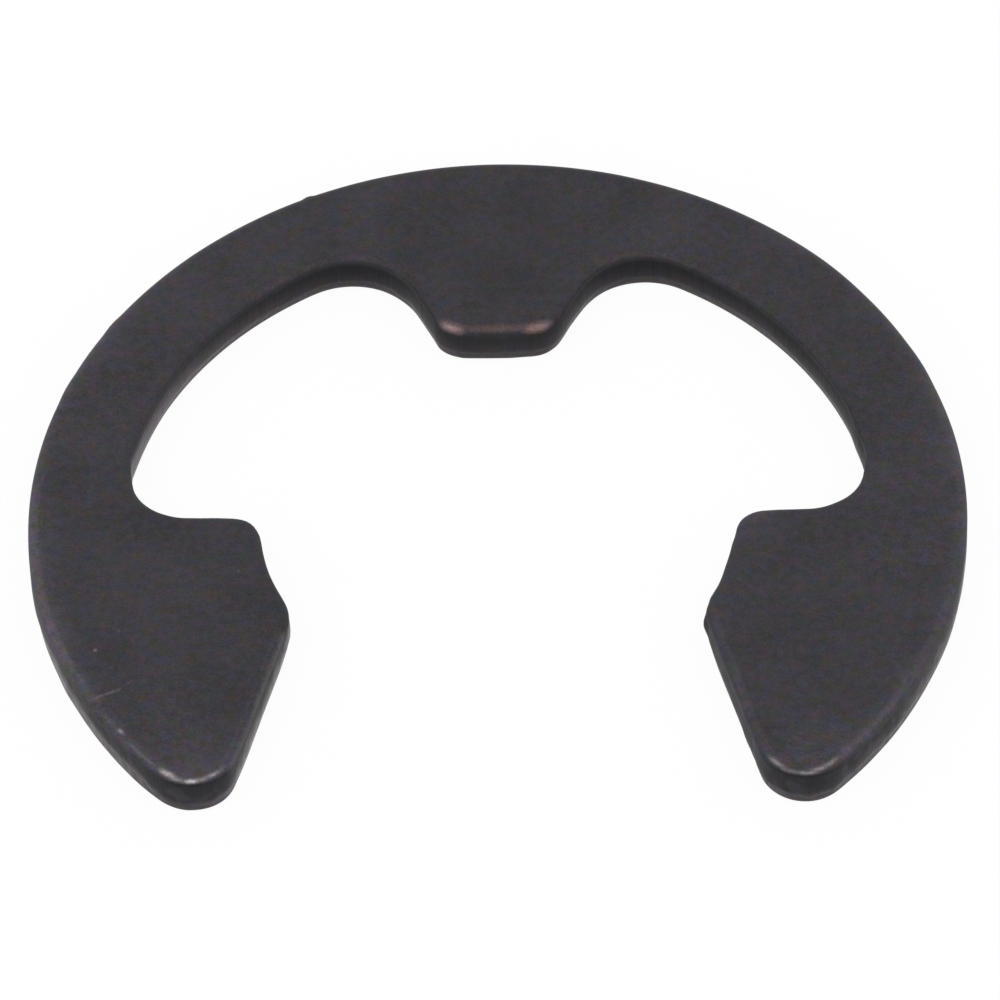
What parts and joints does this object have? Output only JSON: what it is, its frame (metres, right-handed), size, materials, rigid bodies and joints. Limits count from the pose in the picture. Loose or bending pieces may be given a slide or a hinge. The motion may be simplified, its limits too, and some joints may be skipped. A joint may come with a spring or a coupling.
{
  "type": "e-clip retaining ring",
  "caption": "Flat stamped retaining ring, open on one side, with a middle prong and curved arms. It is pushed sideways into a shaft groove to stop parts sliding along the shaft.",
  "frame": {"origin": "on the shaft's axis, at the clip's bottom face", "axes": "+Z along the shaft's axis, out of the punched face; +Y from the axis to the middle prong; the mouth opens towards -Y"},
  "size_m": [0.0294, 0.0254, 0.0015],
  "materials": {
    "black_spring_steel": "phosphated and oiled spring steel, satin black"
  },
  "bodies": {
    "root": {"e_clip": "black_spring_steel"}
  },
  "joints": []
}
